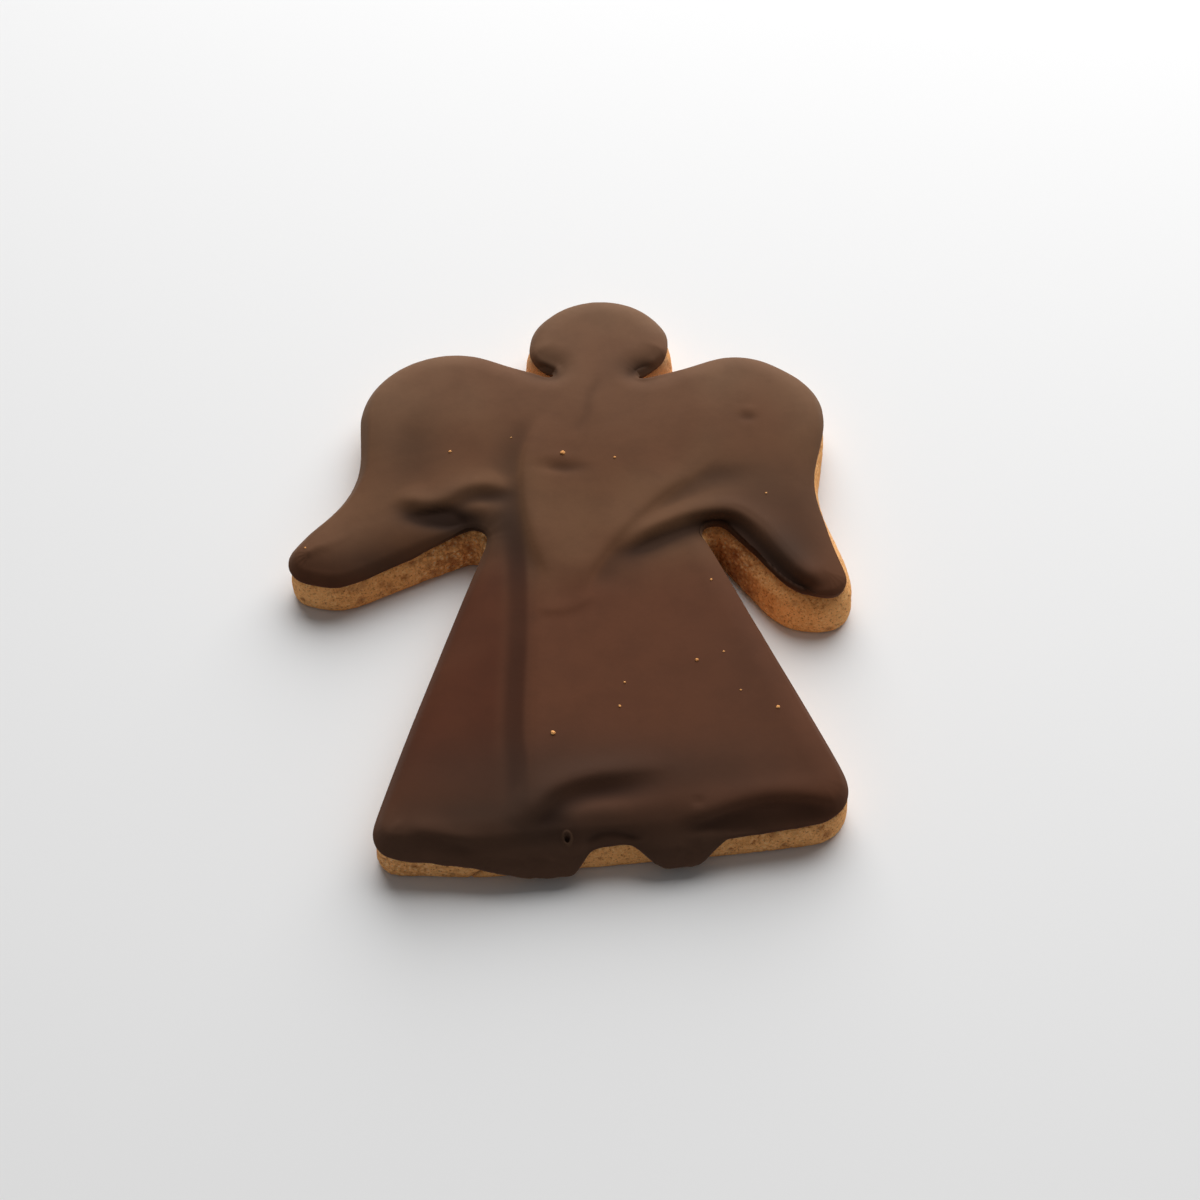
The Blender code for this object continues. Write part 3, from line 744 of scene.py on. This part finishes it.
def makeBiscuit():
    shape = roundedCopy(biscuitNode, "gingerbread_body")
    z = coordsOf(shape)[:, 2]
    splitEdges(shape, (z > 0.02) & (z < biscuitTop - bake["sideEnd"]), bake["cuts"])
    coords = coordsOf(shape)
    headFrom, headTo = bake["bareHead"]
    bare = ease(coords[:, 2], *bake["bareFoot"])
    bare *= 1 - ease(coords[:, 2], biscuitTop - headFrom, biscuitTop - headTo)
    coords = relax(shape, coords, bare, bake["evenRounds"])
    setCoords(shape, coords)
    x, y, z = coords.T.copy()
    dullingShade = dullingShadeOf(shape, x, y)
    crumbly = np.zeros(len(coords))
    shade = np.zeros(len(coords))
    for spotX, spotY, reach, strength, darker in bake["crumbly"]:
        near = hill(np.hypot(x - spotX, y - spotY), reach)
        crumbly += strength * near
        shade += darker * near
    pores = poreDepths(coords, bare, crumbly)
    lumps = 0.5 + 0.5 * noiseAt(coords, bake["lumpLength"], seed=7.0)
    finer, coarser = bake["gritLengths"]
    grit = 1 + noiseAt(coords, finer, seed=3.0) + noiseAt(coords, coarser, seed=5.0)
    away, _ = alongRoute(x, z, bake["crack"])
    crack = hill(away, bake["crackWidth"]) * (y < bake["crackY"]) * (z < bake["crackTop"])
    depth = pores * (1 + crumbly) + bake["lump"] * lumps + bake["crackDepth"] * crack
    depth += bake["grit"] * (1 + bake["gritGain"] * crumbly) * grit
    coords -= normalsOf(shape) * (depth * bare)[:, None]
    setCoords(shape, coords)
    # painted shade in the pores and the crack, darker where they are deeper
    setMask(shape, "darkPoreAndShade", np.clip(pores * bake["poreShade"] + crack, 0.0, bake["poreLimit"]) * bare)
    setMask(shape, "crumbly", crumbly)
    setMask(shape, "shade", shade)
    # painted shade on the sides facing the lamp, duller tone in the neck's notches
    setMask(shape, "dullingShade", dullingShade)
    shape.shade_smooth()
    piece = linkNew("gingerbread_body", shape)
    shape.materials.clear()
    shape.materials.append(gingerbreadFinish())
    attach(piece, "root")
    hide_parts("biscuit")
    print("biscuit made", trianglesIn(shape))
    return piece


crumbs = {
    "spots": (             # x, y, size of each crumb that stuck to the chocolate
        (-1.5, 19.3, 0.46), (-21.1, 19.8, 0.28), (7.5, 18.4, 0.24), (-10.6, 23.3, 0.16),
        (-2.2, -38.7, 0.38), (8.8, -29.2, 0.19), (8.0, -33.7, 0.22), (20.2, -24.9, 0.28),
        (24.5, -23.2, 0.16), (26.8, -30.6, 0.16), (32.4, -33.8, 0.30), (23.1, -8.6, 0.22),
        (-44.0, -1.5, 0.18), (33.2, 10.2, 0.19),
    ),
    "slide": 0.8,          # how far they lie nearer the hem than drawn, as the routes do
    "sunk": 0.35,          # share of its size that a crumb has sunk in
    "rough": 0.28,
    "flat": 0.7,
    "dropHeight": 30.0,
}


def makeCrumbs():
    ground = BVHTree.FromObject(glaze, bpy.context.evaluated_depsgraph_get())
    bm = bmesh.new()
    for x, drawnY, size in crumbs["spots"]:
        y = drawnY - crumbs["slide"]
        above = Vector((x, y, crumbs["dropHeight"])) * mm
        spot, normal, _, _ = ground.ray_cast(above, Vector((0, 0, -1)))
        made = bmesh.ops.create_icosphere(bm, subdivisions=2, radius=size * mm)["verts"]
        for vert in made:
            lump = 1.0 + crumbs["rough"] * noise.noise(vert.co / (size * mm) + Vector((x, y, 0)))
            vert.co *= lump
            vert.co.z *= crumbs["flat"]
            vert.co += spot + normal * size * (0.5 - crumbs["sunk"]) * mm
    shape = bpy.data.meshes.new("stray_crumbs")
    bm.to_mesh(shape)
    bm.free()
    shape.shade_smooth()
    shape.materials.append(body.data.materials[0])
    piece = linkNew("stray_crumbs", shape)
    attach(piece, "root")
    print("crumbs made", trianglesIn(shape))


glaze = makeCoat()
body = makeBiscuit()
makeCrumbs()


studio = {
    "floor": 4.0,          # width of the floor, in metres, and its shade
    "floorShade": (0.82, 0.82, 0.82, 1.0),
    "aim": (4.95, -5.6, 0.0),  # point that the view is centred on
    "distance": 288.0,     # from there to the camera
    "elevation": 52.0,
    "lens": 51.0,
    "nearest": 0.01,       # nearer things aren't drawn; in metres
    "fill": 0.14,          # strength of the even light from all round
    "keyAngle": 39.0,      # height and turn of the lamp behind the head, in degrees
    "keyTurn": 12.0,
    "keyDistance": 1.4,    # in metres, as its width is
    "keySize": 2.1,
    "keyPower": 38.5,
}


def makeStage():
    bm = bmesh.new()
    bmesh.ops.create_grid(bm, x_segments=1, y_segments=1, size=studio["floor"] / 2)
    ground = bpy.data.meshes.new("floor")
    bm.to_mesh(ground)
    bm.free()
    floor = linkNew("floor", ground)
    matt = Finish("pale_floor", {"Base Color": studio["floorShade"], "Roughness": 0.6})
    ground.materials.append(matt.material)

    world = bpy.data.worlds.new("studio")
    world.use_nodes = True
    background = world.node_tree.nodes["Background"]
    background.inputs["Color"].default_value = (1.0, 1.0, 1.0, 1.0)
    background.inputs["Strength"].default_value = studio["fill"]
    bpy.context.scene.world = world

    lamp = bpy.data.lights.new("key", "AREA")
    lamp.shape = "DISK"
    lamp.size = studio["keySize"]
    lamp.energy = studio["keyPower"]
    key = bpy.data.objects.new("key", lamp)
    bpy.context.scene.collection.objects.link(key)
    lift, turn = math.radians(studio["keyAngle"]), math.radians(studio["keyTurn"])
    back = Vector((math.sin(turn) * math.cos(lift), math.cos(turn) * math.cos(lift), math.sin(lift)))
    key.location = back * studio["keyDistance"]
    key.rotation_mode = "QUATERNION"
    key.rotation_quaternion = back.to_track_quat("Z", "Y")


def makeCamera():
    lens = bpy.data.cameras.new("camera")
    lens.lens = studio["lens"]
    lens.clip_start = studio["nearest"]
    camera = bpy.data.objects.new("camera", lens)
    bpy.context.scene.collection.objects.link(camera)
    lift = math.radians(studio["elevation"])
    away = Vector((0.0, -math.cos(lift), math.sin(lift))) * studio["distance"]
    camera.location = (Vector(studio["aim"]) + away) * mm
    camera.rotation_euler = (math.pi / 2 - lift, 0.0, 0.0)
    bpy.context.scene.camera = camera


makeStage()
makeCamera()
bpy.context.scene.view_settings.view_transform = "Standard"
print("stage set")
